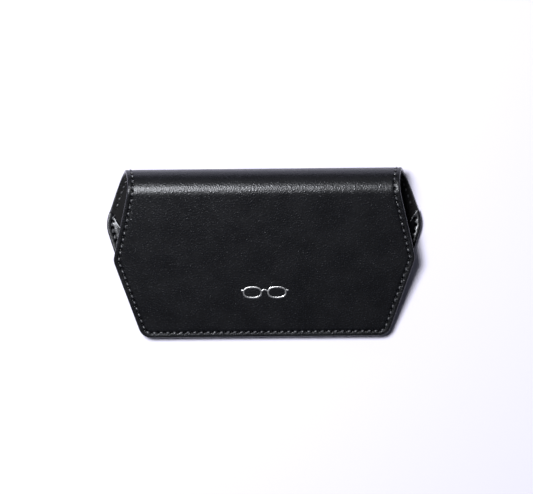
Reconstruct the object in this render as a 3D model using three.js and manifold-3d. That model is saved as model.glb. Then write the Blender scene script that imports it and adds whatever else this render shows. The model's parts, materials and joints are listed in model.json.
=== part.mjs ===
// An eyeglasses case: a stitched leather envelope that lies on its back with its flap closed.
//
// Frame, in millimetres: +Z is up, +Y points to the rolled fold, and +X is to the right for someone
// who looks down on the flap with the fold at the top. The origin is on the table under the middle of
// the case.
//
// One piece of leather, the wrap, makes the back panel, the fold and the flap. It is lined throughout,
// and a board stiffens the back panel, the flap and the front pocket. The pocket is sewn to the back
// panel along its sides and bottom edge. Two magnets in the flap meet two in the pocket. The fold is a
// living hinge: its leather and lining are divided here into seven strips between the back panel and
// the flap, so that eight hinges of one angle roll it open until the flap lies flat on the table.
import * as THREE from "three";
import { mergeVertices } from "three/addons/utils/BufferGeometryUtils.js";
import Module from "manifold-3d";

const { clamp, degToRad, smoothstep } = THREE.MathUtils;
const wasm = await Module();
wasm.setup();

// ---- Driving dimensions ----

const HALF_DEPTH = 36.4; // from the middle to the outside of the fold, and to the bottom edge
const FOLD_RADIUS = 9.5; // of the fold's outer face
const FLAP_SLOPE = degToRad(12.8); // fall of the closed flap, from the fold to its edge
const HINGES = 8; // equal bends in the fold
const STRIP_GAP = 0.5; // between two strips of the fold, on the outer face

// Half widths of the flat wrap, and where they are on the closed case.
const END_HALF_WIDTH = 53.2; // back panel's bottom edge, and the flap's free edge
const BACK_HALF_WIDTH = 68.9; // back panel's side corners
const BACK_CORNER_Y = 13;
const FOLD_HALF_WIDTH = 60.2; // low on the outside of the fold
const FOLD_CORNER_TURN = degToRad(70);
const WAIST_HALF_WIDTH = 57.7; // narrowest place, on top of the fold
const WAIST_TURN = degToRad(170);
const FLAP_HALF_WIDTH = 65; // flap's side corners
const FLAP_CORNER_Y = -2.8;
const END_CORNER_RADIUS = 5.8;
const BACK_CORNER_RADIUS = 14;
const FLAP_CORNER_RADIUS = 6;
const WAIST_RADIUS = 30;

// Thickness of each ply, and the gap between two plies.
const LEATHER = 0.9;
const BOARD = 0.8;
const LINING = 0.5;
const POCKET_LINING = 0.4;
const PLY_GAP = 0.1;

// Boards stop short of the stitched edges, and the lining steps down from them to the leather.
const FLAP_BOARD_INSET = 6;
const BACK_BOARD_INSET = 14;
const LINING_STEP = 2;
const BOARD_PLAY = 0.3;

// Front pocket: its mouth is scooped between two high corners.
const MOUTH_CORNER_Y = 18.5;
const MOUTH_MIDDLE_Y = -2;
const MOUTH_BOW = 0.12; // share of the scoop that is one even bow, the rest being at its two ends
const MOUTH_END = 0.78; // share of the half width where the scoop's ends start
const POCKET_CLEARANCE = 0.5; // under the closed flap
const POCKET_SEAM_WIDTH = 3.5; // flat edge that is sewn down
const POCKET_RISE_WIDTH = 20.5; // from there to the pocket's full height
const POCKET_BOARD_HALF = 0.64; // share of the half width that the board spans
const POCKET_BOARD_START = 0.42; // its lower and upper edge, as shares of the pocket's height
const POCKET_BOARD_END = 0.92;
const POCKET_LOW = 1; // height above the seam below which the pocket has no room for its board

const MAGNET_RADIUS = 5;
const MAGNET_HOLE_RADIUS = 5.3;
const FLAP_MAGNET_THICKNESS = 0.7;
const POCKET_MAGNET_THICKNESS = 0.6;
const MAGNET_X = 30;
const MAGNET_Y = -14;

const SEAM_INSET = 2.3; // stitches, from the edge
const THREAD_WIDTH = 0.5;
const THREAD_HEIGHT = 0.3;
const THREAD_GAP = 0.05;

const EMBLEM_Y = -17;
const EMBLEM_THICKNESS = 0.1;
const EMBLEM_LENS_X = 5.3; // a pair of spectacles seen from the front
const EMBLEM_LENS = [4.1, 2.6];
const EMBLEM_RIM = 0.75;
const EMBLEM_BRIDGE_Y = 0.7;
const EMBLEM_ARM_END = 10.2;

const CORNER_STEPS = 5; // facets in a rounded corner
const ARC_STEPS = 32; // facets around the fold
const ROUND_STEPS = 32; // facets around a magnet or a lens rim
const ROW_GAP = 0.2; // least distance between two rows of points
const TOUCH = 1e-9; // distance at which two places are the same

// ---- Places that follow from them ----

const FOLD_TURN = Math.PI + FLAP_SLOPE;
const FOLD_LENGTH = FOLD_TURN * FOLD_RADIUS;
const FOLD_START_Y = HALF_DEPTH - FOLD_RADIUS;
const BACK_END = -HALF_DEPTH - FOLD_START_Y;
const RIM = LEATHER + PLY_GAP + LINING;
const CORE = BOARD + PLY_GAP;
const BOARD_DEPTH = LEATHER + PLY_GAP; // depths below an outer face
const MAGNET_DEPTH = BOARD_DEPTH + BOARD / 2;
const SEAM_TOP = RIM + 2 * PLY_GAP + POCKET_LINING + LEATHER;
const POCKET_DEPTH = RIM + CORE + POCKET_CLEARANCE; // from the flap's outer face, square to the flap

// A point of the wrap. along is the distance over the outer face from where the back panel starts to
// roll: it is negative on the back panel. depth is measured inwards from the outer face.
function wrapPoint(across, along, depth) {
  const turn = clamp(along / FOLD_RADIUS, 0, FOLD_TURN);
  const straight = along - turn * FOLD_RADIUS;
  const radius = FOLD_RADIUS - depth;
  return new THREE.Vector3(
    across,
    FOLD_START_Y + radius * Math.sin(turn) + straight * Math.cos(turn),
    FOLD_RADIUS - radius * Math.cos(turn) + straight * Math.sin(turn),
  );
}

// The distance along the wrap to a place on the flap, from its Y.
function alongFlap(y) {
  const start = wrapPoint(0, FOLD_LENGTH, 0);
  return FOLD_LENGTH + (start.y - y) / Math.cos(FLAP_SLOPE);
}

const FLAP_END = alongFlap(-HALF_DEPTH);

// ---- Outlines ----

// The points of an open line whose corners, each [x, y, radius], are rounded.
function rounded(corners) {
  const path = new THREE.Path();
  path.moveTo(corners[0][0], corners[0][1]);
  for (let i = 1; i < corners.length - 1; i += 1) {
    const corner = new THREE.Vector2(corners[i][0], corners[i][1]);
    const back = new THREE.Vector2(corners[i - 1][0], corners[i - 1][1]).sub(corner).normalize();
    const on = new THREE.Vector2(corners[i + 1][0], corners[i + 1][1]).sub(corner).normalize();
    const trim = corners[i][2] / Math.tan(back.angleTo(on) / 2);
    back.multiplyScalar(trim).add(corner);
    on.multiplyScalar(trim).add(corner);
    path.lineTo(back.x, back.y);
    path.quadraticCurveTo(corner.x, corner.y, on.x, on.y);
  }
  const last = corners[corners.length - 1];
  path.lineTo(last[0], last[1]);
  return path.getPoints(CORNER_STEPS);
}

// Right-hand half of the flat wrap's outline: x across, y along, from the middle of the back panel's
// bottom edge to the middle of the flap's free edge.
const wrapOutline = rounded([
  [0, BACK_END],
  [END_HALF_WIDTH, BACK_END, END_CORNER_RADIUS],
  [BACK_HALF_WIDTH, BACK_CORNER_Y - FOLD_START_Y, BACK_CORNER_RADIUS],
  [FOLD_HALF_WIDTH, FOLD_CORNER_TURN * FOLD_RADIUS, WAIST_RADIUS],
  [WAIST_HALF_WIDTH, WAIST_TURN * FOLD_RADIUS, WAIST_RADIUS],
  [FLAP_HALF_WIDTH, alongFlap(FLAP_CORNER_Y), FLAP_CORNER_RADIUS],
  [END_HALF_WIDTH, FLAP_END, END_CORNER_RADIUS],
  [0, FLAP_END],
]);
const wrapSide = wrapOutline.slice(1, -1);

function halfWidth(along) {
  const next = wrapSide.findIndex((point) => point.y >= along - TOUCH);
  if (next <= 0) return wrapSide[next === 0 ? 0 : wrapSide.length - 1].x;
  const [a, b] = [wrapSide[next - 1], wrapSide[next]];
  return a.x + ((b.x - a.x) * (along - a.y)) / (b.y - a.y);
}

// The outline between two places along the wrap, one of them an end of the wrap: up one side, round by
// that end and down the other. Each point is { x, along, nx, ny }, where (nx, ny) points into the panel.
function seamLine(from, to) {
  const bottomUp = from === BACK_END;
  const open = bottomUp ? to : from;
  const side = wrapSide.filter((point) => point.y > from - TOUCH && point.y < to + TOUCH);
  if (!bottomUp) side.reverse();
  side.push(new THREE.Vector2(halfWidth(open), open));
  const right = side.map((point, i) => {
    const before = side[Math.max(i - 1, 0)];
    const after = side[Math.min(i + 1, side.length - 1)];
    const way = new THREE.Vector2().subVectors(after, before).normalize();
    const inward = bottomUp ? new THREE.Vector2(-way.y, way.x) : new THREE.Vector2(way.y, -way.x);
    if (i === 0) inward.set(0, bottomUp ? 1 : -1);
    return { x: point.x, along: point.y, nx: inward.x, ny: inward.y };
  });
  const left = right.map((p) => ({ ...p, x: -p.x, nx: -p.nx })).reverse();
  const line = [...left, ...right];
  return bottomUp ? line : line.reverse();
}

// ---- Solids ----

// A closed sheet over a grid. place(column, row, inner) gives a point of its outer face, or of its
// inner face where inner is true.
function sheet(columns, rows, place) {
  const geometry = new THREE.BoxGeometry(1, 1, 1, columns.length - 1, rows.length - 1, 1);
  const position = geometry.getAttribute("position");
  for (let i = 0; i < position.count; i += 1) {
    const column = columns[Math.round((position.getX(i) + 0.5) * (columns.length - 1))];
    const row = rows[Math.round((position.getY(i) + 0.5) * (rows.length - 1))];
    const point = place(column, row, position.getZ(i) > 0);
    position.setXYZ(i, point.x, point.y, point.z);
  }
  geometry.computeVertexNormals();
  return geometry;
}

function solid(geometry) {
  const bare = geometry.clone();
  bare.deleteAttribute("normal");
  bare.deleteAttribute("uv");
  const merged = mergeVertices(bare);
  return new wasm.Manifold(
    new wasm.Mesh({
      numProp: 3,
      vertProperties: merged.getAttribute("position").array,
      triVerts: new Uint32Array(merged.index.array),
    }),
  );
}

function geometryOf(manifold) {
  const mesh = manifold.getMesh();
  const geometry = new THREE.BufferGeometry();
  geometry.setAttribute("position", new THREE.BufferAttribute(mesh.vertProperties, mesh.numProp));
  geometry.setIndex(new THREE.BufferAttribute(mesh.triVerts, 1));
  geometry.computeVertexNormals();
  return geometry;
}

// ---- Materials ----

const material = {
  leather: new THREE.MeshStandardMaterial({ color: 0x1d1d20, roughness: 0.48, metalness: 0 }),
  lining: new THREE.MeshStandardMaterial({ color: 0x26262a, roughness: 0.95, metalness: 0 }),
  board: new THREE.MeshStandardMaterial({ color: 0x6b5a45, roughness: 0.9, metalness: 0 }),
  magnet: new THREE.MeshStandardMaterial({ color: 0xb9bbbd, roughness: 0.3, metalness: 1 }),
  thread: new THREE.MeshStandardMaterial({ color: 0x141416, roughness: 0.4, metalness: 0 }),
  foil: new THREE.MeshStandardMaterial({ color: 0xd4d5d8, roughness: 0.3, metalness: 1 }),
};

const eyeglassesCase = new THREE.Group();

function add(name, geometry, kind, parent = eyeglassesCase) {
  const mesh = new THREE.Mesh(geometry, material[kind]);
  mesh.name = name;
  parent.add(mesh);
}

// ---- Wrap: back panel, fold and flap ----

// Places along the wrap where its outline or its bend needs a row of points.
const wrapRows = wrapSide.map((point) => point.y);
for (let i = 0; i <= ARC_STEPS; i += 1) wrapRows.push((FOLD_LENGTH * i) / ARC_STEPS);

function rowsBetween(from, to, extra = []) {
  const all = [...wrapRows, ...extra].sort((a, b) => a - b);
  const rows = [from];
  for (const row of all.filter((each) => each < to - ROW_GAP)) {
    if (row - rows[rows.length - 1] > ROW_GAP) rows.push(row);
  }
  rows.push(to);
  return rows;
}

// Columns are distances from the two side edges, measured across.
function bothSides(distances) {
  const left = distances.map((distance) => ({ side: -1, distance }));
  const right = distances.map((distance) => ({ side: 1, distance })).reverse();
  return [...left, ...right];
}

function wrapPly(columns, rows, depthAt, thickness) {
  return sheet(bothSides(columns), rows, ({ side, distance }, along, inner) => {
    const across = side * (halfWidth(along) - distance);
    return wrapPoint(across, along, depthAt(across, along) + (inner ? thickness : 0));
  });
}

// The lining lies on the leather at the edges and in the fold, and over the board elsewhere.
function liningDepth(across, along) {
  const onFlap = along > FOLD_LENGTH;
  const inset = onFlap ? FLAP_BOARD_INSET : BACK_BOARD_INSET;
  const fromSide = halfWidth(along) - Math.abs(across);
  const fromEnd = onFlap ? FLAP_END - along : along - BACK_END;
  const fromFold = (onFlap ? along - FOLD_LENGTH : -along) + inset - FLAP_BOARD_INSET;
  const within = Math.min(fromSide, fromEnd, fromFold);
  return LEATHER + PLY_GAP + CORE * clamp((within - inset) / LINING_STEP + 1, 0, 1);
}

function stepPlaces(inset) {
  return [inset - LINING_STEP, inset];
}

// The back panel, the strips and the flap meet halfway along each bend.
const bendLength = FOLD_LENGTH / HINGES;
const cuts = Array.from({ length: HINGES }, (_, i) => (i + 0.5) * bendLength);

function addWrapPlies() {
  const flat = () => 0;
  const backRows = [...stepPlaces(BACK_BOARD_INSET).map((d) => BACK_END + d)];
  backRows.push(...stepPlaces(FLAP_BOARD_INSET).map((d) => -d));
  const flapRows = stepPlaces(FLAP_BOARD_INSET).flatMap((d) => [FOLD_LENGTH + d, FLAP_END - d]);
  const parts = [
    ["back", BACK_END, cuts[0] - STRIP_GAP / 2, backRows, stepPlaces(BACK_BOARD_INSET)],
    ["flap", cuts[HINGES - 1] + STRIP_GAP / 2, FLAP_END, flapRows, stepPlaces(FLAP_BOARD_INSET)],
  ];
  for (const [panel, from, to, extraRows, steps] of parts) {
    const liningRows = rowsBetween(from, to, extraRows);
    add(`${panel}_outer_leather`, wrapPly([0], rowsBetween(from, to), flat, LEATHER), "leather");
    add(`${panel}_lining`, wrapPly([0, ...steps], liningRows, liningDepth, LINING), "lining");
  }
  for (let i = 1; i < HINGES; i += 1) {
    const rows = rowsBetween(cuts[i - 1] + STRIP_GAP / 2, cuts[i] - STRIP_GAP / 2);
    add(`fold_leather_${i}`, wrapPly([0], rows, flat, LEATHER), "leather");
    add(`fold_lining_${i}`, wrapPly([0], rows, () => LEATHER + PLY_GAP, LINING), "lining");
  }
}

// ---- Boards and magnets of the wrap ----

const magnetAlong = alongFlap(MAGNET_Y);

// A disc whose axis is square to the flap, depth being that of its middle.
function flapDisc(radius, thickness, across, depth) {
  const disc = new THREE.CylinderGeometry(radius, radius, thickness, ROUND_STEPS);
  disc.rotateX(Math.PI / 2 + FLAP_SLOPE);
  const middle = wrapPoint(across, magnetAlong, depth);
  return disc.translate(middle.x, middle.y, middle.z);
}

// Cuts the two magnet holes through a board.
function withMagnetHoles(board, depth) {
  const holeLength = 4 * BOARD;
  let cut = solid(board);
  for (const side of [-1, 1]) {
    cut = cut.subtract(solid(flapDisc(MAGNET_HOLE_RADIUS, holeLength, side * MAGNET_X, depth)));
  }
  return geometryOf(cut);
}

function addBoards() {
  const backInset = BACK_BOARD_INSET + BOARD_PLAY;
  const flapInset = FLAP_BOARD_INSET + BOARD_PLAY;
  const backRows = rowsBetween(BACK_END + backInset, -flapInset);
  const flapRows = rowsBetween(FOLD_LENGTH + flapInset, FLAP_END - flapInset);
  const flapBoard = wrapPly([flapInset], flapRows, () => BOARD_DEPTH, BOARD);
  add("back_stiffener_board", wrapPly([backInset], backRows, () => BOARD_DEPTH, BOARD), "board");
  add("flap_stiffener_board", withMagnetHoles(flapBoard, MAGNET_DEPTH), "board");
}

// ---- Front pocket ----

// The pocket's grid: columns are shares of the half width, rows are shares of the height from the
// bottom edge to the mouth.
const pocketColumns = [1, 0.97, 0.94, 0.91, 0.88, 0.85, 0.82, 0.79, 0.76, 0.73, 0.7, 0.67];
pocketColumns.push(POCKET_BOARD_HALF, 0.5, 0.3);
const pocketHeight = MOUTH_CORNER_Y + HALF_DEPTH;
const pocketRows = wrapSide
  .filter((point) => point.y < BACK_END + END_CORNER_RADIUS)
  .map((point) => (point.y - BACK_END) / pocketHeight);
pocketRows.push(0.16, 0.24, 0.31, POCKET_BOARD_START, 0.5, 0.62, 0.7, 0.78, 0.85, POCKET_BOARD_END, 0.96, 1);

function mouthY(share) {
  const rise = MOUTH_CORNER_Y - MOUTH_MIDDLE_Y;
  const end = smoothstep(Math.abs(share), MOUTH_END, 1);
  return MOUTH_MIDDLE_Y + rise * (MOUTH_BOW * share * share + (1 - MOUTH_BOW) * end);
}

// Height of the pocket's outer face: flat along the seam, then up to just below the closed flap.
function pocketTop(across, y) {
  const fromSide = halfWidth(y - FOLD_START_Y) - Math.abs(across);
  const share = smoothstep(fromSide, POCKET_SEAM_WIDTH, POCKET_SEAM_WIDTH + POCKET_RISE_WIDTH);
  const flapEdge = wrapPoint(0, FLAP_END, 0);
  const flapTop = flapEdge.z + (y - flapEdge.y) * Math.tan(FLAP_SLOPE);
  const limit = flapTop - POCKET_DEPTH / Math.cos(FLAP_SLOPE);
  return SEAM_TOP + share * Math.max(0, limit - SEAM_TOP);
}

// The pocket's lining leaves room for the board where the pocket stands high enough.
function pocketCore(top) {
  return clamp(top - SEAM_TOP - POCKET_LOW, 0, CORE);
}

function pocketPly(columns, rows, depthAt, thickness) {
  const mirrored = [...columns.map((share) => -share), 0, ...[...columns].reverse()];
  return sheet(mirrored, rows, (share, row, inner) => {
    const y = -HALF_DEPTH + (mouthY(share) + HALF_DEPTH) * row;
    const across = share * halfWidth(y - FOLD_START_Y);
    const top = pocketTop(across, y);
    // Box geometry counts up in z, and this sheet's outer face is its upper one.
    return new THREE.Vector3(across, y, top - depthAt(top) - (inner ? 0 : thickness));
  });
}

function addPocket() {
  const boardColumns = pocketColumns.filter((share) => share <= POCKET_BOARD_HALF);
  const boardRows = pocketRows.filter((row) => row >= POCKET_BOARD_START && row <= POCKET_BOARD_END);
  const liningAt = (top) => LEATHER + PLY_GAP + pocketCore(top);
  const board = pocketPly(boardColumns, boardRows, () => BOARD_DEPTH, BOARD);
  add("pocket_outer_leather", pocketPly(pocketColumns, pocketRows, () => 0, LEATHER), "leather");
  add("pocket_lining", pocketPly(pocketColumns, pocketRows, liningAt, POCKET_LINING), "lining");
  add("pocket_stiffener_board", withMagnetHoles(board, pocketMagnetDepth()), "board");
}

// Depth of the pocket magnets' middle below the flap's outer face, square to the flap.
function pocketMagnetDepth() {
  return POCKET_DEPTH + MAGNET_DEPTH * Math.cos(FLAP_SLOPE);
}

function addMagnets() {
  for (const [side, word] of [[-1, "left"], [1, "right"]]) {
    const x = side * MAGNET_X;
    const inFlap = flapDisc(MAGNET_RADIUS, FLAP_MAGNET_THICKNESS, x, MAGNET_DEPTH);
    const inPocket = flapDisc(MAGNET_RADIUS, POCKET_MAGNET_THICKNESS, x, pocketMagnetDepth());
    add(`flap_magnet_${word}`, inFlap, "magnet");
    add(`pocket_magnet_${word}`, inPocket, "magnet");
  }
}

// ---- Seams ----

// One run of thread over a stitch line, between two depths of the wrap.
function thread(line, outerDepth) {
  const rows = line.map((_, i) => i);
  const half = THREAD_WIDTH / 2;
  return sheet([half, -half], rows, (offset, i, inner) => {
    const { x, along, nx, ny } = line[i];
    const shift = SEAM_INSET + offset;
    const depth = outerDepth + (inner ? THREAD_HEIGHT : 0);
    return wrapPoint(x + nx * shift, along + ny * shift, depth);
  });
}

function addSeams() {
  const mouthCorner = MOUTH_CORNER_Y - FOLD_START_Y;
  const pocketSeam = seamLine(BACK_END, mouthCorner);
  const flapSeam = seamLine(FOLD_LENGTH, FLAP_END);
  add("pocket_seam_thread", thread(pocketSeam, SEAM_TOP + THREAD_GAP), "thread");
  add("flap_seam_thread", thread(flapSeam, -THREAD_GAP - THREAD_HEIGHT), "thread");
}

// ---- Foil emblem on the flap: a pair of spectacles ----

function extruded(shape) {
  const options = { depth: EMBLEM_THICKNESS, bevelEnabled: false, curveSegments: ROUND_STEPS };
  return solid(new THREE.ExtrudeGeometry(shape, options));
}

function lensRim(side) {
  const [rx, ry] = EMBLEM_LENS;
  const rim = new THREE.Shape();
  rim.absellipse(side * EMBLEM_LENS_X, 0, rx, ry, 0, 2 * Math.PI, false);
  const opening = new THREE.Path();
  const [openX, openY] = [rx - EMBLEM_RIM, ry - EMBLEM_RIM];
  opening.absellipse(side * EMBLEM_LENS_X, 0, openX, openY, 0, 2 * Math.PI, true);
  rim.holes.push(opening);
  return extruded(rim);
}

function bar(fromX, toX) {
  const half = EMBLEM_RIM / 2;
  const shape = new THREE.Shape();
  shape.moveTo(fromX, EMBLEM_BRIDGE_Y - half);
  shape.lineTo(toX, EMBLEM_BRIDGE_Y - half);
  shape.lineTo(toX, EMBLEM_BRIDGE_Y + half);
  shape.lineTo(fromX, EMBLEM_BRIDGE_Y + half);
  return extruded(shape);
}

function addEmblem() {
  const inRim = EMBLEM_LENS_X + EMBLEM_LENS[0] - EMBLEM_RIM;
  const bridge = EMBLEM_LENS_X - EMBLEM_LENS[0] + EMBLEM_RIM / 2;
  let emblem = lensRim(-1).add(lensRim(1)).add(bar(-bridge, bridge));
  emblem = emblem.add(bar(-EMBLEM_ARM_END, -inRim)).add(bar(inRim, EMBLEM_ARM_END));
  const onFlap = new THREE.Group();
  onFlap.rotation.x = FLAP_SLOPE;
  onFlap.position.copy(wrapPoint(0, alongFlap(EMBLEM_Y), -THREAD_GAP));
  add("foil_emblem", geometryOf(emblem), "foil", onFlap);
  eyeglassesCase.add(onFlap);
}

addWrapPlies();
addBoards();
addPocket();
addMagnets();
addSeams();
addEmblem();

export default eyeglassesCase;
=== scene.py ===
"""Looks of a black leather eyeglasses case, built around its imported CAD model.

The leather is cut as flat patterns, in millimetres, and bent to shape. On the wrap, x runs across and y
runs along the outer face, from 0 where the back panel starts to roll: y is negative on the back panel,
and past FOLD_LENGTH on the flap. Meshes are in metres, in the CAD model's frame.
"""

import json
import math

import bpy
import numpy as np
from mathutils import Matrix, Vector
from mathutils.geometry import delaunay_2d_cdt

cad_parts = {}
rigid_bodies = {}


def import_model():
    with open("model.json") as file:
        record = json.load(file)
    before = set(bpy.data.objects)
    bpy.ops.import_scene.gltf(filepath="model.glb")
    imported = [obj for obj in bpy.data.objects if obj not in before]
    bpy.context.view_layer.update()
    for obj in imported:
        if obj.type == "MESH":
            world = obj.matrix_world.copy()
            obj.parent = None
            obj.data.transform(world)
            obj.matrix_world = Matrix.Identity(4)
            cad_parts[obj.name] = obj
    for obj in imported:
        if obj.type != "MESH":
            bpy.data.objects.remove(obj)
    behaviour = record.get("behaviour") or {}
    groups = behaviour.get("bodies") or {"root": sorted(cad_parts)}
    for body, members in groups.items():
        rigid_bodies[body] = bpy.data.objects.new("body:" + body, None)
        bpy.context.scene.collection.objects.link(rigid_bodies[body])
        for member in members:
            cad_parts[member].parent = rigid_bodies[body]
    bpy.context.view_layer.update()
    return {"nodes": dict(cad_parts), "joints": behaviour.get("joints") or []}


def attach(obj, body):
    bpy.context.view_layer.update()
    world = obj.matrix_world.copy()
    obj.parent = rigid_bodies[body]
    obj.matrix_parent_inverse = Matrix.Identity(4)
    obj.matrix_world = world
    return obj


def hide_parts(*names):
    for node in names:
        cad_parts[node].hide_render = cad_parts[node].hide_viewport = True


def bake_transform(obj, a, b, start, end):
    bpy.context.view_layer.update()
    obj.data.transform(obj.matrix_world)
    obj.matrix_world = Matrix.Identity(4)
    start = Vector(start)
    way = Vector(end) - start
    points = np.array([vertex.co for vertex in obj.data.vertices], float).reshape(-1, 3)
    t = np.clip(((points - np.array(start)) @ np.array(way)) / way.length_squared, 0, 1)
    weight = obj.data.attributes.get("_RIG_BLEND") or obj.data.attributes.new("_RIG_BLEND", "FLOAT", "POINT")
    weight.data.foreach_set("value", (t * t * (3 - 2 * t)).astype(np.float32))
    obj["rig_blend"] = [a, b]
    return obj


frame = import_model()

MM = 0.001

# ---- Driving dimensions in millimetres, as in the CAD model ----

HALF_DEPTH = 36.4
FOLD_RADIUS = 9.5
LEATHER = 0.9
LINING = 0.5
POCKET_LINING = 0.4
PLY_GAP = 0.1
BOARD = 0.8
CORE = BOARD + PLY_GAP

END_HALF_WIDTH = 53.2
BACK_HALF_WIDTH = 68.9
BACK_CORNER_Y = 13
FOLD_HALF_WIDTH = 60.2
FOLD_CORNER_TURN = math.radians(70)
WAIST_HALF_WIDTH = 57.7
WAIST_TURN = math.radians(170)
FLAP_HALF_WIDTH = 65
FLAP_CORNER_Y = -2.8
END_CORNER_RADIUS = 5.8
BACK_CORNER_RADIUS = 14
FLAP_CORNER_RADIUS = 6
WAIST_RADIUS = 30

MOUTH_CORNER_Y = 18.5
MOUTH_MIDDLE_Y = -2
MOUTH_BOW = 0.12
MOUTH_END = 0.78
POCKET_CLEARANCE = 0.5
POCKET_SEAM_WIDTH = 3.5
POCKET_RISE_WIDTH = 20.5
POCKET_LOW = 1

SEAM_INSET = 2.3
EMBLEM_Y = -17

# ---- Fine detail that only the looks have, in millimetres too ----

STITCH_PITCH = 2.9
STITCH_SLANT = 0.42  # of each end of a stitch, off the line of holes
STITCH_DEPTH = 1.1  # of each end of a stitch, below the face
STITCH_RISE = 1.04  # of its middle above its ends
STITCH_ARCH = 1.7  # power of its arch: the higher it is, the flatter the stitch runs into its holes
THREAD_RADIUS = 0.37
THREAD_TWIST = 1.2  # turns along a stitch
THREAD_OVAL = 0.05  # share by which the twisted thread is out of round
THREAD_TAPER = 0.25  # share of the radius lost at the holes
GROOVE_DEPTH = 0.17  # of the dip along a seam
GROOVE_HALF_WIDTH = 0.75
HOLE_DEPTH = 0.25  # of a stitch hole, below the groove
HOLE_RADIUS = 0.45
HOLE_SHADE = 0.75  # radius of the painted shade round each hole

BEAD = 0.6  # width of the painted edge
PAINT_END = (0.25, 0.5)  # distances from the edge between which the paint fades
GRAIN_START = (2, 10)  # and between which the pocket's grain starts
EDGE_SHAPE = (0, 0.06, 0.2, 0.42, BEAD, 1.0)  # distances from the edge, for the profiles below
OUTER_EDGE = (0.52, 0.3, 0.11, 0.02, 0, 0)  # depth of the wrap's outer face there
INNER_EDGE = (0.98, 1.2, 1.42, 1.54, 1.5, 0.98)  # and of the painted edge on the inner side
POCKET_OUTER_EDGE = (0.5, 0.28, 0.1, 0.02, 0, 0)
SEWN_INNER_EDGE = (1.42, 1.42, 1.42, 1.42, 1.42, 0.98)
MOUTH_INNER_EDGE = (0.9, 1.1, 1.3, 1.42, 1.38, 0.98)

FLAP_BOARD_STEP = (3.7, 5.7)  # distances from the edge between which the lining climbs a board
BACK_BOARD_STEP = (11.4, 13.4)
FOLD_BOARD_STEP = (4, 6)  # the same from the fold
MOUTH_BOARD_STEP = (BEAD, BEAD + 2)  # and from the pocket's mouth

# ---- Meshes, in millimetres ----

STATIONS = 6  # places along the edge for each stitch
# Distances from the edge of the rows of points along it, closest at the painted edge and the seam.
RINGS = (0, 0.06, 0.2, 0.42, 0.6, 1.0, 1.45, 1.8, 2.05, SEAM_INSET, 2.55, 2.85, 3.3, 4.0)
OUTLINE_PITCH = 0.1
MOUTH_PITCH = 0.7
PANEL_PITCH = 2.2
FOLD_PITCH = 1.2
WELD = 1e-6  # points closer than this become one
SLIVER = 1e-7  # triangles smaller than this are left out
FAR = 1e3  # beyond any part of the case
TINY = 1e-12  # keeps a division by a length of nothing harmless

# ---- Depths in the noise, which give each ply a pattern of its own ----

WRAP_LAYER, WRAP_LINING_LAYER, POCKET_LAYER, POCKET_LINING_LAYER = 0, 40, 80, 120

# ---- Lengths and places that follow from the dimensions ----

HINGES = len(frame["joints"])
FOLD_TURN = math.radians(sum(joint["range_deg"][1] for joint in frame["joints"]))
FLAP_SLOPE = FOLD_TURN - math.pi
FOLD_LENGTH = FOLD_TURN * FOLD_RADIUS
BEND_LENGTH = FOLD_LENGTH / HINGES
FOLD_START_Y = HALF_DEPTH - FOLD_RADIUS
BACK_END = -HALF_DEPTH - FOLD_START_Y
RIM = LEATHER + PLY_GAP + LINING
SEAM_TOP = RIM + 2 * PLY_GAP + POCKET_LINING + LEATHER
MOUTH_CORNER = MOUTH_CORNER_Y - FOLD_START_Y


def ramp(value, low, high):
    """0 below low, 1 above high, and smooth between them."""
    t = np.clip((value - low) / (high - low), 0, 1)
    return t * t * (3 - 2 * t)


def wrap_point(flat, depth):
    """Bends places of the flat wrap round the fold. depth is measured inwards from the outer face."""
    across, along = flat[..., 0], flat[..., 1]
    turn = np.clip(along / FOLD_RADIUS, 0, FOLD_TURN)
    straight = along - turn * FOLD_RADIUS
    radius = FOLD_RADIUS - depth
    y = FOLD_START_Y + radius * np.sin(turn) + straight * np.cos(turn)
    z = FOLD_RADIUS - radius * np.cos(turn) + straight * np.sin(turn)
    return np.stack([across + 0 * z, y, z], axis=-1)


FLAP_START = wrap_point(np.array([0.0, FOLD_LENGTH]), 0)


def along_flap(y):
    """The place along the wrap of a point on the closed flap, from its Y."""
    return FOLD_LENGTH + (FLAP_START[1] - y) / math.cos(FLAP_SLOPE)


FLAP_END = along_flap(-HALF_DEPTH)


# ---- Flat outlines ----

def lengths(line):
    """The distance along a line to each of its points."""
    steps = np.linalg.norm(np.diff(line, axis=0), axis=1)
    return np.concatenate([[0], np.cumsum(steps)])


def sampled(values, places, at):
    """Rows of values, known at places, between them."""
    return np.stack([np.interp(at, places, column) for column in values.T], axis=1)


def even(line, spacing):
    """The line again, with points about that far apart."""
    places = lengths(line)
    count = math.ceil(places[-1] / spacing)
    return sampled(line, places, np.linspace(0, places[-1], count + 1))


def rounded(corners, steps=24):
    """The points of an open line whose corners, each (x, y, radius), are rounded."""
    line = [np.array(corners[0][:2], float)]
    for before, (x, y, radius), after in zip(corners, corners[1:], corners[2:]):
        corner = np.array([x, y], float)
        back = np.array(before[:2]) - corner
        on = np.array(after[:2]) - corner
        back /= np.linalg.norm(back)
        on /= np.linalg.norm(on)
        trim = radius / math.tan(math.acos(back @ on) / 2)
        for t in np.linspace(0, 1, steps + 1):
            line.append(corner + trim * ((1 - t) ** 2 * back + t * t * on))
    line.append(np.array(corners[-1][:2], float))
    return np.array(line)


def inward_of(line):
    """Unit vectors square to a line that runs anticlockwise round its panel, pointing into the panel."""
    way = np.gradient(line, axis=0)
    way /= np.linalg.norm(way, axis=1, keepdims=True)
    return np.stack([-way[:, 1], way[:, 0]], axis=1)


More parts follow.
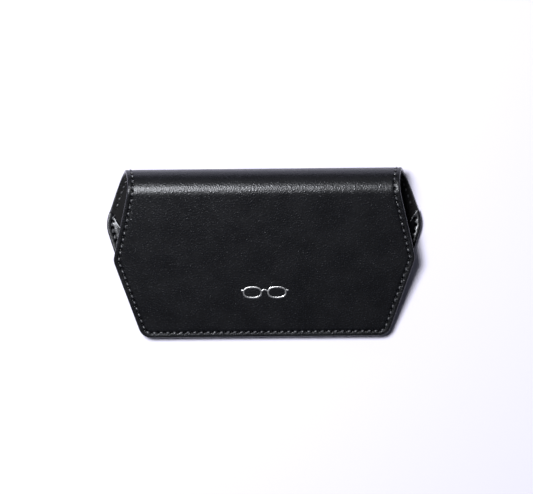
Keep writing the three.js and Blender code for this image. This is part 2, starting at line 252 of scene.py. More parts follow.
# Right-hand half of the wrap's outline, from the middle of the bottom edge to the middle of the flap's.
HALF_OUTLINE = even(rounded([
    (0, BACK_END),
    (END_HALF_WIDTH, BACK_END, END_CORNER_RADIUS),
    (BACK_HALF_WIDTH, BACK_CORNER_Y - FOLD_START_Y, BACK_CORNER_RADIUS),
    (FOLD_HALF_WIDTH, FOLD_CORNER_TURN * FOLD_RADIUS, WAIST_RADIUS),
    (WAIST_HALF_WIDTH, WAIST_TURN * FOLD_RADIUS, WAIST_RADIUS),
    (FLAP_HALF_WIDTH, along_flap(FLAP_CORNER_Y), FLAP_CORNER_RADIUS),
    (END_HALF_WIDTH, FLAP_END, END_CORNER_RADIUS),
    (0, FLAP_END),
]), OUTLINE_PITCH)


def half_width(along):
    """Half the wrap's width at places along it."""
    return np.interp(along, HALF_OUTLINE[:, 1], HALF_OUTLINE[:, 0])


def edge_stations():
    """Places round the wrap's whole edge and their inward vectors, a stitch hole at each STATIONS-th."""
    inward = inward_of(HALF_OUTLINE)
    places = lengths(HALF_OUTLINE + inward * SEAM_INSET)
    stitches = round(places[-1] / STITCH_PITCH)
    at = np.linspace(0, places[-1], STATIONS * stitches + 1)
    edge = sampled(HALF_OUTLINE, places, at)
    inward = sampled(inward, places, at)
    inward /= np.linalg.norm(inward, axis=1, keepdims=True)
    mirror = np.array([-1, 1])
    return [np.concatenate([side, (side * mirror)[-2:0:-1]]) for side in (edge, inward)]


EDGE, INWARD = edge_stations()
SEAM = EDGE + INWARD * SEAM_INSET
HOLES = SEAM[::STATIONS]


def distance_to(points, line, closed=False):
    """The distance from each point to a line."""
    start = line if closed else line[:-1]
    step = (np.roll(line, -1, axis=0) if closed else line[1:]) - start
    square = (step ** 2).sum(axis=1)
    found = []
    for some in np.array_split(points, len(points) // 1000 + 1):
        away = some[:, None] - start
        t = np.clip((away * step).sum(axis=2) / square, 0, 1)
        found.append(np.linalg.norm(away - t[..., None] * step, axis=2).min(axis=1))
    return np.concatenate(found)


def distance_to_holes(points):
    """The distance from each point to the nearest stitch hole."""
    found = np.full(len(points), FAR)
    for some in np.array_split(np.arange(len(points)), len(points) // 2000 + 1):
        away = points[some][:, None] - HOLES
        found[some] = np.linalg.norm(away, axis=2).min(axis=1)
    return found


# ---- Triangles over a flat pattern ----

def hex_grid(low, high, pitch):
    """A symmetrical grid of points in rows that are offset by half a step."""
    row_step = pitch * math.sqrt(0.75)
    count = math.ceil(high[0] / pitch)
    rows = np.arange(low[1], high[1], row_step)
    return np.array([[(i + 0.5 * (j % 2)) * pitch, y]
                     for j, y in enumerate(rows) for i in range(-count, count)])


def meshed(loop, loose, cuts, inside):
    """Triangles over the panel inside loop, with loose points within it and cuts across it."""
    points = [loop, loose]
    edges = [(i, (i + 1) % len(loop)) for i in range(len(loop))]
    first = len(loop) + len(loose)
    for cut in cuts:
        points.append(cut)
        edges += [(first + i, first + i + 1) for i in range(len(cut) - 1)]
        first += len(cut)
    coords = [Vector(point) for point in np.concatenate(points)]
    found = delaunay_2d_cdt(coords, edges, [], 0, WELD, False)
    points = np.array([list(point) for point in found[0]])
    triangles = np.array([face for face in found[2] if len(face) == 3])
    a, b, c = (points[triangles[:, i]] for i in range(3))
    ab, ac = b - a, c - a
    area = (ab[:, 0] * ac[:, 1] - ab[:, 1] * ac[:, 0]) / 2
    keep = inside((a + b + c) / 3) & (np.abs(area) > SLIVER)
    triangles = triangles[keep]
    turned = area[keep] < 0
    triangles[turned] = triangles[turned][:, ::-1]
    return only_used(points, triangles)


def only_used(points, triangles):
    """The points that the triangles use, and the triangles with their new numbers."""
    used, index = np.unique(triangles, return_inverse=True)
    return points[used], index.reshape(-1, 3)


def wrap_pattern():
    """The wrap's points and triangles, with a line of edges across at each end of each bend."""
    def inside(points):
        return np.abs(points[:, 0]) < half_width(points[:, 1])

    lines = [i * BEND_LENGTH for i in range(HINGES + 1)]
    rings = np.concatenate([EDGE + INWARD * ring for ring in RINGS[1:]])
    ring_of = np.repeat(RINGS[1:], len(EDGE))
    # Past a corner the rows cross, so points that have come nearer to the edge than their row are dropped.
    rings = rings[distance_to(rings, EDGE, closed=True) > ring_of - 0.01]
    panels = hex_grid((0, BACK_END), (BACK_HALF_WIDTH, FLAP_END), PANEL_PITCH)
    panels = panels[(panels[:, 1] < -FOLD_PITCH) | (panels[:, 1] > FOLD_LENGTH + FOLD_PITCH)]
    fold = hex_grid((0, -FOLD_PITCH), (BACK_HALF_WIDTH, FOLD_LENGTH + FOLD_PITCH), FOLD_PITCH)
    loose = np.concatenate([panels, fold])
    loose = loose[inside(loose)]
    loose = loose[distance_to(loose, EDGE, closed=True) > RINGS[-1] + FOLD_PITCH / 2]
    loose = np.concatenate([rings, loose])
    for line in lines:
        loose = loose[np.abs(loose[:, 1] - line) > FOLD_PITCH / 4]
    cuts = []
    for line in lines:
        width = float(half_width(line))
        middle = width - RINGS[-1] - FOLD_PITCH
        steps = round(2 * middle / FOLD_PITCH)
        sides = width - np.array(RINGS[1:])
        x = np.concatenate([[-width - 1], -sides, np.linspace(-middle, middle, steps + 1),
                            sides[::-1], [width + 1]])
        cuts.append(np.stack([x, np.full(len(x), line)], axis=1))
    return meshed(EDGE, loose, cuts, inside)


# ---- Plies ----

def shell(triangles, count, outer_up):
    """A closed ply's outer, inner and edge faces. Its inner points follow its count outer points."""
    upper, lower = triangles, triangles[:, ::-1]
    outside = upper if outer_up else lower
    inside = (lower if outer_up else upper) + count
    a, b = boundary(outside).T
    edge = np.stack([b, a, a + count, b + count], axis=1)
    return outside, inside, edge


def boundary(triangles):
    """Directed edges that only one triangle has."""
    edges = np.concatenate([triangles[:, [0, 1]], triangles[:, [1, 2]], triangles[:, [2, 0]]])
    size = triangles.max() + 1
    ahead = edges[:, 0] * size + edges[:, 1]
    behind = edges[:, 1] * size + edges[:, 0]
    return edges[~np.isin(ahead, behind)]


def normals_of(body, faces):
    """Smooth normals at the points of a mesh."""
    normals = np.zeros_like(body)
    for face in faces:
        for corners in ([0, 1, 2],) if face.shape[1] == 3 else ([0, 1, 2], [0, 2, 3]):
            a, b, c = (body[face[:, i]] for i in corners)
            square = np.cross(b - a, c - a)
            for i in corners:
                np.add.at(normals, face[:, i], square)
    return normals / np.maximum(np.linalg.norm(normals, axis=1, keepdims=True), TINY)


def new_object(name, points, faces, material, attributes=None, normals=None):
    """A smooth mesh object from points in millimetres. normals holds one vector for each face corner."""
    mesh = bpy.data.meshes.new(name)
    mesh.from_pydata((points * MM).tolist(), [], faces)
    for key, values in (attributes or {}).items():
        kind, field = ("FLOAT", "value") if values.ndim == 1 else ("FLOAT_VECTOR", "vector")
        data = mesh.attributes.new(key, kind, "POINT").data
        data.foreach_set(field, values.astype(np.float32).ravel())
    mesh.polygons.foreach_set("use_smooth", [True] * len(mesh.polygons))
    if normals is not None:
        mesh.normals_split_custom_set(normals.tolist())
    mesh.materials.append(material)
    piece = bpy.data.objects.new(name, mesh)
    bpy.context.scene.collection.objects.link(piece)
    return piece


class Ply:
    """One layer of leather or lining over a flat pattern, which can be divided into pieces.

    place bends flat points to shape at a depth, and outer and inner are the depths of the ply's two faces.
    """

    def __init__(self, points, triangles, place, outer, inner, outer_up, attributes):
        self.points, self.triangles, self.outer_up = points, triangles, outer_up
        self.body = np.concatenate([place(points, outer), place(points, inner)])
        self.normals = normals_of(self.body, shell(triangles, len(points), outer_up))
        self.on_rim = np.zeros(len(points), bool)
        self.on_rim[boundary(triangles).ravel()] = True
        self.attributes = {key: np.concatenate([values, values]) for key, values in attributes.items()}

    def piece(self, name, material, chosen=None):
        """A closed mesh of the triangles that chosen picks by their middles. Cut faces are left flat."""
        triangles = self.triangles
        if chosen is not None:
            triangles = triangles[chosen(self.points[triangles].mean(axis=1))]
        used, index = np.unique(triangles, return_inverse=True)
        outside, inside, edge = shell(index.reshape(-1, 3), len(used), self.outer_up)
        both = np.concatenate([used, used + len(self.points)])
        body, normals = self.body[both], self.normals[both]
        whole = self.on_rim[used]
        cut = ~(whole[edge[:, 0]] & whole[edge[:, 1]])
        across = np.cross(body[edge[:, 1]] - body[edge[:, 0]], body[edge[:, 2]] - body[edge[:, 1]])
        across /= np.maximum(np.linalg.norm(across, axis=1, keepdims=True), TINY)
        edge_normals = normals[edge]
        edge_normals[cut] = across[cut][:, None]
        corners = np.concatenate([normals[outside].reshape(-1, 3), normals[inside].reshape(-1, 3),
                                  edge_normals.reshape(-1, 3)])
        faces = outside.tolist() + inside.tolist() + edge.tolist()
        attributes = {key: values[both] for key, values in self.attributes.items()}
        return new_object(name, body, faces, material, attributes, corners)


def seam_dip(points, from_edge):
    """How far a seam pulls the leather in: a shallow groove, deeper at the stitch holes."""
    groove = GROOVE_DEPTH * np.exp(-((from_edge - SEAM_INSET) / GROOVE_HALF_WIDTH) ** 2)
    return groove + HOLE_DEPTH * np.exp(-(distance_to_holes(points) / HOLE_RADIUS) ** 2)


def painted_hole_shade(points):
    """Painted shade in the stitch holes: 1 in a stitch hole and round it, and 0 away from the holes."""
    return np.exp(-(distance_to_holes(points) / HOLE_SHADE) ** 4)


def texture_places(points, layer):
    """Flat places as 3-D vectors, so that the grain sticks to the leather."""
    return np.column_stack([points, np.full(len(points), float(layer))])


def tray(points, from_edge):
    """How far the wrap's lining is lifted over the stiffener boards, as a share."""
    along = points[:, 1]
    flap = ramp(from_edge, *FLAP_BOARD_STEP) * ramp(along - FOLD_LENGTH, *FOLD_BOARD_STEP)
    back = ramp(from_edge, *BACK_BOARD_STEP) * ramp(-along, *FOLD_BOARD_STEP)
    return flap + back


def lining_part(triangles, from_edge):
    """The points that the lining shares with the hide, inside the painted edge, and its triangles."""
    within = (from_edge[triangles] > BEAD - 0.03).all(axis=1)
    used, index = np.unique(triangles[within], return_inverse=True)
    return used, index.reshape(-1, 3)


def make_wrap(leather, suede):
    """The back panel, the fold and the flap, each of leather and lining."""
    points, triangles = wrap_pattern()
    from_edge = distance_to(points, EDGE, closed=True)
    dip = seam_dip(points, from_edge)
    outer = np.interp(from_edge, EDGE_SHAPE, OUTER_EDGE) + dip
    inner = np.interp(from_edge, EDGE_SHAPE, INNER_EDGE)
    marks = {"flat_position": texture_places(points, WRAP_LAYER),
             "grain_depth": np.ones(len(points)),
             "edge_paint": 1 - ramp(from_edge, *PAINT_END),
             "stitch_hole_shade": painted_hole_shade(points)}
    hide = Ply(points, triangles, wrap_point, outer, inner, False, marks)

    used, triangles = lining_part(triangles, from_edge)
    points, from_edge, dip = points[used], from_edge[used], dip[used]
    above_pocket = ramp(points[:, 1], MOUTH_CORNER - 2, MOUTH_CORNER)  # below it, the pocket takes the seam
    face = RIM + CORE * tray(points, from_edge)
    marks = {"flat_position": texture_places(points, WRAP_LINING_LAYER),
             "stitch_hole_shade": painted_hole_shade(points) * above_pocket}
    cloth = Ply(points, triangles, wrap_point, face - LINING, face - dip * above_pocket, False, marks)

    def between(low, high):
        return lambda middles: (middles[:, 1] > low) & (middles[:, 1] < high)

    panels = (("back", "pouch", between(-FAR, 0)), ("flap", "flap", between(FOLD_LENGTH, FAR)))
    plies = ((hide, leather, "hide", "leather", "outer_leather"),
             (cloth, suede, "suede", "lining", "lining"))
    for ply, material, kind, strip, slot in plies:
        for panel, body, chosen in panels:
            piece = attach(ply.piece(f"{panel}_{kind}", material, chosen), body)
            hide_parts(f"{panel}_{slot}")
        for i in range(HINGES):
            chosen = between(i * BEND_LENGTH, (i + 1) * BEND_LENGTH)
            piece = ply.piece(f"fold_{kind}_bend_{i + 1}", material, chosen)
            bend(piece, i)
            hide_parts(*[f"fold_{strip}_{k}" for k in (i, i + 1) if 0 < k < HINGES])


def bend(piece, i):
    """Blends a piece across the fold's joint i."""
    ends = np.array([[0, i * BEND_LENGTH], [0, (i + 1) * BEND_LENGTH]])
    start, end = wrap_point(ends, RIM / 2) * MM
    joint = frame["joints"][i]
    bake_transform(piece, joint["parent"], joint["child"], start=tuple(start), end=tuple(end))


# ---- Front pocket ----

def mouth_y(share):
    """Y of the mouth's edge at a share of the way from its middle to a corner."""
    rise = MOUTH_CORNER_Y - MOUTH_MIDDLE_Y
    bowed, turned = share ** 2, ramp(np.abs(share), MOUTH_END, 1)
    return MOUTH_MIDDLE_Y + rise * (MOUTH_BOW * bowed + (1 - MOUTH_BOW) * turned)


def mouth_line():
    """The pocket's mouth from its right corner to its left one, in flat coordinates."""
    share = np.linspace(1, -1, 401)
    along = mouth_y(share) - FOLD_START_Y
    return even(np.stack([share * half_width(along), along], axis=1), MOUTH_PITCH)


def pocket_top(flat):
    """Height of the pocket's outer face: flat along the seam, then up to just below the closed flap."""
    y = flat[..., 1] + FOLD_START_Y
    from_side = half_width(flat[..., 1]) - np.abs(flat[..., 0])
    share = ramp(from_side, POCKET_SEAM_WIDTH, POCKET_SEAM_WIDTH + POCKET_RISE_WIDTH)
    flap_edge = wrap_point(np.array([0.0, FLAP_END]), 0)
    flap_top = flap_edge[2] + (y - flap_edge[1]) * math.tan(FLAP_SLOPE)
    depth = (RIM + CORE + POCKET_CLEARANCE) / math.cos(FLAP_SLOPE)
    return SEAM_TOP + share * np.maximum(0, flap_top - depth - SEAM_TOP)


def pocket_point(flat, depth):
    """Lifts places of the flat pocket. depth is measured down from its outer face."""
    return np.stack([flat[..., 0], flat[..., 1] + FOLD_START_Y, pocket_top(flat) - depth], axis=-1)


def pocket_pattern():
    """The pocket's points and triangles, and the points' distances from its side edge and its mouth."""
    mouth = mouth_line()
    count = len(EDGE)
    order = np.arange(-count // 2, count // 2) % count
    sewn = order[EDGE[order, 1] < MOUTH_CORNER - 0.2]
    side = EDGE[sewn]
    whole = np.concatenate([mouth[-1:], side, mouth[:1]])
    loop = np.concatenate([side, mouth])

    def inside(points):
        x = np.abs(points[:, 0])
        half = mouth[mouth[:, 0] >= 0][::-1]
        return (x < half_width(points[:, 1])) & (points[:, 1] < np.interp(x, half[:, 0], half[:, 1]))

    rings = [side + INWARD[sewn] * ring for ring in RINGS[1:]]
    rings += [mouth + inward_of(mouth) * ring for ring in RINGS[1:]]
    ring_of = np.concatenate([np.full(len(ring), d) for ring, d in zip(rings, 2 * RINGS[1:])])
    rings = np.concatenate(rings)
    keep = (distance_to(rings, loop, closed=True) > ring_of - 0.02) & inside(rings)
    loose = hex_grid((0, BACK_END), (BACK_HALF_WIDTH, MOUTH_CORNER), PANEL_PITCH)
    loose = loose[inside(loose)]
    loose = loose[distance_to(loose, loop, closed=True) > RINGS[-1] + FOLD_PITCH / 2]
    points, triangles = meshed(loop, np.concatenate([rings[keep], loose]), [], inside)
    return points, triangles, distance_to(points, whole), distance_to(points, mouth)


def make_pocket(leather, suede):
    """The front pocket, of leather and lining."""
    points, triangles, from_side, from_mouth = pocket_pattern()
    nearest = np.minimum(from_side, from_mouth)
    sewn = from_side < from_mouth
    dip = seam_dip(points, from_side)
    outer = np.interp(nearest, EDGE_SHAPE, POCKET_OUTER_EDGE) + dip
    inner = np.where(sewn, np.interp(from_side, EDGE_SHAPE, SEWN_INNER_EDGE),
                     np.interp(from_mouth, EDGE_SHAPE, MOUTH_INNER_EDGE))
    marks = {"flat_position": texture_places(points, POCKET_LAYER),
             "grain_depth": ramp(from_side, *GRAIN_START),
             "edge_paint": 1 - ramp(nearest, *PAINT_END),
             "stitch_hole_shade": painted_hole_shade(points)}
    hide = Ply(points, triangles, pocket_point, outer, inner, True, marks)

    used, triangles = lining_part(triangles, nearest)
    points, from_mouth = points[used], from_mouth[used]
    high = np.clip((pocket_top(points) - SEAM_TOP - POCKET_LOW) / CORE, 0, 1)
    face = LEATHER + PLY_GAP + CORE * high * ramp(from_mouth, *MOUTH_BOARD_STEP)
    marks = {"flat_position": texture_places(points, POCKET_LINING_LAYER),
             "stitch_hole_shade": np.zeros(len(points))}
    cloth = Ply(points, triangles, pocket_point, face, face + POCKET_LINING, True, marks)
    plies = ((hide, leather, "hide", "outer_leather"), (cloth, suede, "suede", "lining"))
    for ply, material, kind, slot in plies:
        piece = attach(ply.piece(f"pocket_{kind}", material), "pouch")
        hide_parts(f"pocket_{slot}")


# ---- Stitches ----

def stitches(chosen, place):
    """Points and faces of one short twisted thread over each chosen stitch, from hole to hole."""
    sections, sides = 13, 8
    u = np.linspace(0, 1, sections)
    at = (chosen[:, None] + u) * STATIONS
    low = np.floor(at).astype(int)
    part = (at - low)[..., None]
    low, high = low % len(SEAM), (low + 1) % len(SEAM)
    middle = SEAM[low] * (1 - part) + SEAM[high] * part
    inward = INWARD[low] * (1 - part) + INWARD[high] * part
    flat = middle + inward * (STITCH_SLANT * (1 - 2 * u))[:, None]
    arch = np.sin(np.pi * u) ** STITCH_ARCH
    height = STITCH_RISE * arch - STITCH_DEPTH
    line = place(flat, height)
    up = place(flat, height + 0.1) - line
    up /= np.linalg.norm(up, axis=-1, keepdims=True)
    way = np.gradient(line, axis=1)
    way /= np.linalg.norm(way, axis=-1, keepdims=True)
    side = np.cross(way, up)
    up = np.cross(side, way)
    angle = np.linspace(0, 2 * np.pi, sides, endpoint=False)
    twist = 2 * np.pi * THREAD_TWIST * u[:, None]
    radius = THREAD_RADIUS * (1 + THREAD_OVAL * np.cos(2 * (angle - twist)))
    radius *= 1 - THREAD_TAPER * (1 - arch[:, None])
    rise, spread = (np.cos(angle) * radius)[..., None], (np.sin(angle) * radius)[..., None]
    points = line[:, :, None] + rise * up[:, :, None] + spread * side[:, :, None]
    index = np.arange(points[..., 0].size).reshape(points.shape[:3])
    here, on = index[:, :-1], index[:, 1:]
    quads = np.stack([here, np.roll(here, -1, axis=2), np.roll(on, -1, axis=2), on], axis=-1)
    caps = index[:, 0, ::-1].tolist() + index[:, -1].tolist()
    return points.reshape(-1, 3), quads.reshape(-1, 4).tolist() + caps


def joined(parts):
    """Several (points, faces) as one."""
    points, faces, first = [], [], 0
    for some, their_faces in parts:
        points.append(some)
        faces += [[i + first for i in face] for face in their_faces]
        first += len(some)
    return np.concatenate(points), faces


def make_stitching(thread):
    """The stitches: one thread for each, on both faces of the wrap and on top of the pocket."""
    number = np.arange(len(HOLES))
    middle = SEAM[(number * STATIONS + STATIONS // 2) % len(SEAM)][:, 1]

    def outer(flat, height):
        return wrap_point(flat, -height)

    def inner(flat, height):
        return wrap_point(flat, RIM + height)

    def on_pocket(flat, height):
        return pocket_point(flat, -height)

    def between(low, high):
        return number[(middle > low) & (middle <= high)]

    def both_faces(low, high, inner_low):
        """The wrap's stitches from low to high, but on its inner face only from inner_low."""
        return joined([stitches(between(low, high), outer), stitches(between(inner_low, high), inner)])

    def add(name, shape):
        piece = new_object(name, *shape, thread)
        return piece

    pocket_end = MOUTH_CORNER - STITCH_PITCH / 2
    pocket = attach(add("pocket_stitching", stitches(between(-FAR, pocket_end), on_pocket)), "pouch")
    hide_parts("pocket_seam_thread")
    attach(add("back_stitching", both_faces(-FAR, 0, pocket_end + STITCH_PITCH)), "pouch")
    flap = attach(add("flap_stitching", both_faces(FOLD_LENGTH, FAR, FOLD_LENGTH)), "flap")
    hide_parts("flap_seam_thread")
    for i in range(HINGES):
        low, high = i * BEND_LENGTH, (i + 1) * BEND_LENGTH
        bend(add(f"fold_stitching_bend_{i + 1}", both_faces(low, high, low)), i)


# ---- Foil emblem: a pair of spectacles ----

def band(line, half, closed):
    """A flat strip with bevelled edges along a line in the plane, half its width to each side."""
    bevel, low, high = 0.3, -0.03, 0.04
    offsets = half * np.array([-1, bevel - 1, 1 - bevel, 1])
    heights = np.array([low, high, high, low])
    if closed:
        way = np.roll(line, -1, axis=0) - np.roll(line, 1, axis=0)
    else:
        way = np.gradient(line, axis=0)
    way /= np.linalg.norm(way, axis=1, keepdims=True)
    square = np.stack([way[:, 1], -way[:, 0]], axis=1)
    flat = line[:, None] + square[:, None] * offsets[:, None]
    points = np.concatenate([flat, np.broadcast_to(heights[:, None], flat[..., :1].shape)], axis=-1)
    index = np.arange(flat[..., 0].size).reshape(flat.shape[:2])
    on = np.roll(index, -1, axis=0) if closed else index[1:]
    here = index if closed else index[:-1]
    faces = []
    for i in range(4):
        k = (i + 1) % 4
        faces += np.stack([here[:, i], here[:, k], on[:, k], on[:, i]], axis=1).tolist()
    if not closed:
        faces += [index[0, ::-1].tolist(), index[-1].tolist()]
    return points.reshape(-1, 3), faces


def make_emblem(foil):
    """The silver mark: two lenses, a bridge and the ends of two arms."""
    stroke = 0.4  # half its width
    lens_x, lens, squareness = 5.3, (3.8, 2.3), 0.8
    bridge_half, bridge_top, bridge_bow = 1.6, 1.15, 0.32
    arm_start, arm_end, arm_y = 9.0, 10.2, 0.9

    angle = np.linspace(0, 2 * np.pi, 72, endpoint=False)
    circle = np.stack([np.cos(angle), np.sin(angle)], axis=1)
    curve = np.sign(circle) * np.abs(circle) ** squareness * lens
    parts = [band(curve + [side * lens_x, 0], stroke, True) for side in (-1, 1)]
    x = np.linspace(-bridge_half, bridge_half, 24)
    parts.append(band(np.stack([x, bridge_top - bridge_bow * x ** 2], axis=1), stroke, False))
    for side in (-1, 1):
        x = side * np.linspace(arm_start, arm_end, 6)
        parts.append(band(np.stack([x, np.full(len(x), arm_y)], axis=1), stroke, False))
    points, faces = joined(parts)
    flat = np.stack([points[:, 0], along_flap(EMBLEM_Y) - points[:, 1]], axis=1)
    marks = {"flat_position": texture_places(flat, WRAP_LAYER)}
    piece = new_object("foil_spectacles_mark", wrap_point(flat, -points[:, 2]), faces, foil, marks)
    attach(piece, "flap")
    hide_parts("foil_emblem")


# ---- Materials ----
# Colours are linear RGBA. Noise has scales per millimetre of flat_position, or per metre of Object.

class Nodes:
    """The nodes of one material. An input that is given a socket is linked, and any other is set."""

    def __init__(self, name):
        self.material = bpy.data.materials.new(name)
        self.material.use_nodes = True
        self.tree = self.material.node_tree
        self.shader = self.tree.nodes["Principled BSDF"]

    def fill(self, node, inputs):
        for key, value in inputs.items():
            if isinstance(value, bpy.types.NodeSocket):
                self.tree.links.new(value, node.inputs[key])
            else:
                node.inputs[key].default_value = value
        return node

    def add(self, kind, inputs=None, **settings):
        node = self.tree.nodes.new("ShaderNode" + kind)
        for key, value in settings.items():
            setattr(node, key, value)
        return self.fill(node, inputs or {})

    def attribute(self, name, output):
        return self.add("Attribute", attribute_name=name).outputs[output]

    def noise(self, place, scale, detail=2.0):
        return self.add("TexNoise", {"Vector": place, "Scale": scale, "Detail": detail}).outputs["Fac"]

    def maths(self, operation, a, b, c=0.0):
        return self.add("Math", {0: a, 1: b, 2: c}, operation=operation).outputs[0]

    def ramp(self, value, low, high, to_low=0.0, to_high=1.0):
        inputs = {"Value": value, "From Min": low, "From Max": high, "To Min": to_low, "To Max": to_high}
        return self.add("MapRange", inputs, interpolation_type="SMOOTHSTEP").outputs[0]

    def mix(self, share, a, b):
        # Of a Mix node's sockets, inputs 6 and 7 and output 2 are those for colours.
        node = self.add("Mix", data_type="RGBA")
        return self.fill(node, {0: share, 6: a, 7: b}).outputs[2]

    def bump(self, height, distance):
        inputs = {"Height": height, "Distance": distance * MM, "Strength": 1.0}
        return self.add("Bump", inputs).outputs["Normal"]


def grain(nodes):
    """The flat place on pebbled leather, its cells (0 in the creases between them) and its height."""
    drift_scale, drift_size = 0.5, 0.9
    cell_scale, crease_width = 1.1, 0.55
    swell_scale, pore_scale = 1.5, 3.4
    cell_height, swell_height, pore_height = 0.5, 0.8, 0.16

    place = nodes.attribute("flat_position", "Vector")
    noise = nodes.add("TexNoise", {"Vector": place, "Scale": drift_scale, "Detail": 2.0})
    drift = nodes.add("VectorMath", {0: noise.outputs["Color"], 1: (0.5, 0.5, 0.5)}, operation="SUBTRACT")
    moved = nodes.add("VectorMath", {0: drift.outputs[0], 1: (drift_size,) * 3, 2: place},
                      operation="MULTIPLY_ADD")
    voronoi = nodes.add("TexVoronoi", {"Vector": moved.outputs[0], "Scale": cell_scale},
                        feature="DISTANCE_TO_EDGE")
    cells = nodes.ramp(voronoi.outputs["Distance"], 0.0, crease_width)
    swell = nodes.noise(place, swell_scale, 1.0)
    pores = nodes.noise(place, pore_scale, 1.0)
    height = nodes.maths("MULTIPLY", swell, swell_height)
    height = nodes.maths("MULTIPLY_ADD", pores, pore_height, height)
    height = nodes.maths("MULTIPLY_ADD", cells, cell_height, height)
    return place, cells, height


def leather_material():
    """Black leather: shinier and smoother on its painted edge, with painted shade in the stitch holes that
    darkens its colour and turns down its reflection.
    """
    nodes = Nodes("pebbled_black_leather")
    place, cells, height = grain(nodes)
    paint = nodes.attribute("edge_paint", "Fac")
    hole = nodes.attribute("stitch_hole_shade", "Fac")
    depth = nodes.attribute("grain_depth", "Fac")
    mottle = nodes.noise(place, 0.09, 3.0)

    tone = nodes.mix(mottle, (0.0054, 0.0057, 0.0078, 1), (0.0072, 0.0077, 0.0105, 1))
    # Painted shade: darker in the creases between the pebbles, the low places of the bump.
    tone = nodes.mix(nodes.ramp(cells, 0.0, 0.6), (0.0022, 0.0023, 0.003, 1), tone)
    # Painted shade: the colour goes near black in and round the stitch holes.
    tone = nodes.mix(hole, tone, (0.0003, 0.0003, 0.0004, 1))
    painted = nodes.mix(nodes.noise(place, 0.8), (0.006, 0.006, 0.008, 1), (0.012, 0.012, 0.015, 1))
    tone = nodes.mix(paint, tone, painted)

    rough = nodes.ramp(mottle, 0.3, 0.7, 0.212, 0.262)
    rough = nodes.maths("ADD", rough, nodes.ramp(cells, 0.0, 0.7, 0.08, 0.0))
    rough = nodes.maths("SUBTRACT", rough, nodes.maths("MULTIPLY", paint, 0.08))
    rough = nodes.maths("MULTIPLY", rough, nodes.ramp(depth, 0.0, 1.0, 0.7, 1.0))
    # Painted shade: the reflection is turned down in the stitch holes too.
    shine = nodes.ramp(hole, 0.0, 0.8, 0.45, 0.02)

    relief = nodes.maths("SUBTRACT", 1.0, nodes.maths("MULTIPLY", paint, 0.85))
    relief = nodes.maths("MULTIPLY", relief, nodes.ramp(depth, 0.0, 1.0, 0.1, 1.0))
    normal = nodes.bump(nodes.maths("MULTIPLY", height, relief), 0.09)
    nodes.fill(nodes.shader, {"Base Color": tone, "Roughness": rough, "Normal": normal,
                              "Specular IOR Level": shine, "Specular Tint": (0.92, 0.94, 1.0, 1)})
    return nodes.material


def suede_material():
    nodes = Nodes("charcoal_microfibre_suede")
    place = nodes.attribute("flat_position", "Vector")
    hole = nodes.attribute("stitch_hole_shade", "Fac")
    nap = nodes.noise(place, 0.12, 4.0)
    brushed = nodes.ramp(nap, 0.35, 0.65)
    tone = nodes.mix(brushed, (0.0065, 0.0065, 0.0078, 1), (0.0095, 0.0095, 0.011, 1))
    fibres = nodes.noise(place, 6.0, 4.0)
    # Painted shade: darker down between the fibres, where the bump is low.
    between = nodes.mix(0.5, tone, (0.006, 0.006, 0.007, 1))
    tone = nodes.mix(nodes.ramp(fibres, 0.3, 0.75), between, tone)
    # Painted shade: the lining goes near black in and round the stitch holes.
    tone = nodes.mix(hole, tone, (0.002, 0.002, 0.002, 1))
    rough = nodes.ramp(fibres, 0.2, 0.8, 0.84, 0.98)
    nodes.fill(nodes.shader, {"Base Color": tone, "Roughness": rough, "Normal": nodes.bump(fibres, 0.12),
                              "Specular IOR Level": 0.2, "Sheen Weight": 0.2, "Sheen Roughness": 0.4})
    return nodes.material


def thread_material():
    nodes = Nodes("waxed_black_thread")
    place = nodes.add("TexCoord").outputs["Object"]
    wax = nodes.noise(place, 900.0)
    tone = nodes.mix(wax, (0.04, 0.041, 0.047, 1), (0.09, 0.092, 0.105, 1))
    rough = nodes.ramp(wax, 0.3, 0.7, 0.18, 0.27)
    fibres = nodes.noise(place, 6000.0, 3.0)
    nodes.fill(nodes.shader, {"Base Color": tone, "Roughness": rough, "Normal": nodes.bump(fibres, 0.02),
                              "Specular IOR Level": 1.0})
    return nodes.material


def foil_material():
    nodes = Nodes("silver_foil")
    place, _, height = grain(nodes)
    wear = nodes.noise(place, 1.6, 4.0)
    tone = nodes.mix(nodes.ramp(wear, 0.35, 0.6), (0.5, 0.51, 0.53, 1), (0.86, 0.87, 0.89, 1))
    rough = nodes.ramp(wear, 0.3, 0.7, 0.38, 0.26)
    nodes.fill(nodes.shader, {"Base Color": tone, "Metallic": 1.0, "Roughness": rough,
                              "Normal": nodes.bump(height, 0.05)})
    return nodes.material


def board_material():
    nodes = Nodes("bonded_leather_board")
    place = nodes.add("TexCoord").outputs["Object"]
    fibres = nodes.noise(place, 700.0, 5.0)
    flecks = nodes.add("TexVoronoi", {"Vector": place, "Scale": 450.0}).outputs["Distance"]
    tone = nodes.mix(fibres, (0.09, 0.055, 0.03, 1), (0.21, 0.145, 0.09, 1))
    tone = nodes.mix(nodes.ramp(flecks, 0.05, 0.3), (0.05, 0.032, 0.02, 1), tone)
    rough = nodes.ramp(fibres, 0.3, 0.7, 0.75, 0.92)
    nodes.fill(nodes.shader, {"Base Color": tone, "Roughness": rough, "Normal": nodes.bump(fibres, 0.1)})
    return nodes.material


def magnet_material():
    nodes = Nodes("nickel_plated_magnet")
    place = nodes.add("TexCoord").outputs["Object"]
    plating = nodes.noise(place, 500.0, 4.0)
    tone = nodes.mix(plating, (0.46, 0.45, 0.43, 1), (0.62, 0.61, 0.59, 1))
    rough = nodes.ramp(plating, 0.3, 0.7, 0.2, 0.36)
    nodes.fill(nodes.shader, {"Base Color": tone, "Metallic": 1.0, "Roughness": rough,
                              "Normal": nodes.bump(plating, 0.01)})
    return nodes.material


def dress_hidden_parts():
    """Boards and magnets keep their CAD shapes, between the leather and the lining."""
    board, magnet = board_material(), magnet_material()
    for name, node in frame["nodes"].items():
        for word, material, slot in (("board", board, "board"), ("magnet", magnet, "magnet")):
            if word in name:
                node.data.materials.clear()
                node.data.materials.append(material)


# ---- Studio ----

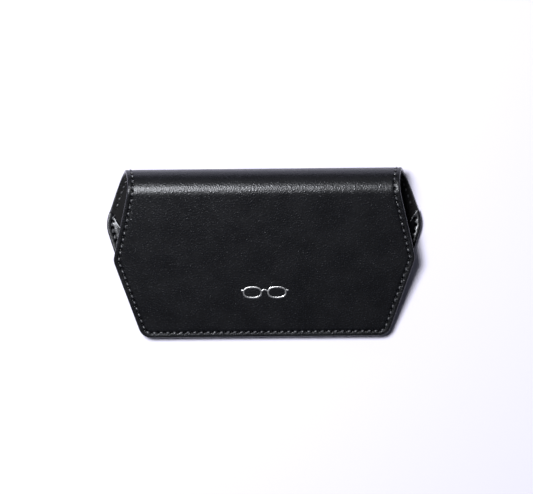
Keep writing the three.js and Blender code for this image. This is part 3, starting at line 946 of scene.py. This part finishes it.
def make_camera():
    """A long lens, a metre straight above the case and turned by half a degree."""
    camera = bpy.data.objects.new("camera", bpy.data.cameras.new("camera"))
    bpy.context.scene.collection.objects.link(camera)
    camera.data.lens = 155.27
    camera.data.sensor_width = 36
    camera.location = (0.00096, 0.0026, 1.0)
    camera.rotation_euler = (0, 0, -math.radians(0.55))
    bpy.context.scene.camera = camera


def make_light(name, towards, distance, size, power):
    """A square softbox, centred in direction towards from the case and facing it."""
    data = bpy.data.lights.new(name, "AREA")
    data.shape = "SQUARE"
    data.size = size
    data.energy = power
    light = bpy.data.objects.new(name, data)
    bpy.context.scene.collection.objects.link(light)
    direction = Vector(towards).normalized()
    light.location = direction * distance
    light.rotation_euler = direction.to_track_quat("Z", "Y").to_euler()


def make_world():
    """A dim sky overhead that is brighter towards the horizon, as in a white room."""
    world = bpy.data.worlds.new("studio")
    bpy.context.scene.world = world
    world.use_nodes = True
    nodes, links = world.node_tree.nodes, world.node_tree.links
    place = nodes.new("ShaderNodeTexCoord")
    parts = nodes.new("ShaderNodeSeparateXYZ")
    rise = nodes.new("ShaderNodeMapRange")
    rise.interpolation_type = "SMOOTHSTEP"
    for key, value in (("From Min", 0.1), ("From Max", 0.6), ("To Min", 0.16), ("To Max", 0.04)):
        rise.inputs[key].default_value = value
    background = nodes["Background"]
    background.inputs["Color"].default_value = (0.78, 0.82, 1.0, 1)
    links.new(place.outputs["Generated"], parts.inputs[0])
    links.new(parts.outputs["Z"], rise.inputs["Value"])
    links.new(rise.outputs[0], background.inputs["Strength"])


def make_floor():
    """A white floor, just under the stitches on the case's underside."""
    half, top = 1800, -0.35
    corners = np.array([[-half, -half, top], [half, -half, top], [half, half, top], [-half, half, top]])
    nodes = Nodes("white_floor")
    place = nodes.add("TexCoord").outputs["Object"]
    tone = nodes.mix(nodes.noise(place, 3.0), (0.73, 0.72, 0.86, 1), (0.76, 0.75, 0.89, 1))
    nodes.fill(nodes.shader, {"Base Color": tone, "Roughness": 0.9, "Specular IOR Level": 0.1})
    new_object("floor", corners, [[0, 1, 2, 3]], nodes.material)


leather, suede = leather_material(), suede_material()
make_wrap(leather, suede)
make_pocket(leather, suede)
make_stitching(thread_material())
make_emblem(foil_material())
dress_hidden_parts()
make_camera()
make_light("key", towards=(-0.27, 0.22, 0.937), distance=1.0, size=0.3, power=15)
make_light("rear_fill", towards=(0.0, 0.83, 0.56), distance=1.5, size=0.8, power=0.7)
make_world()
make_floor()
bpy.context.scene.view_settings.view_transform = "Standard"
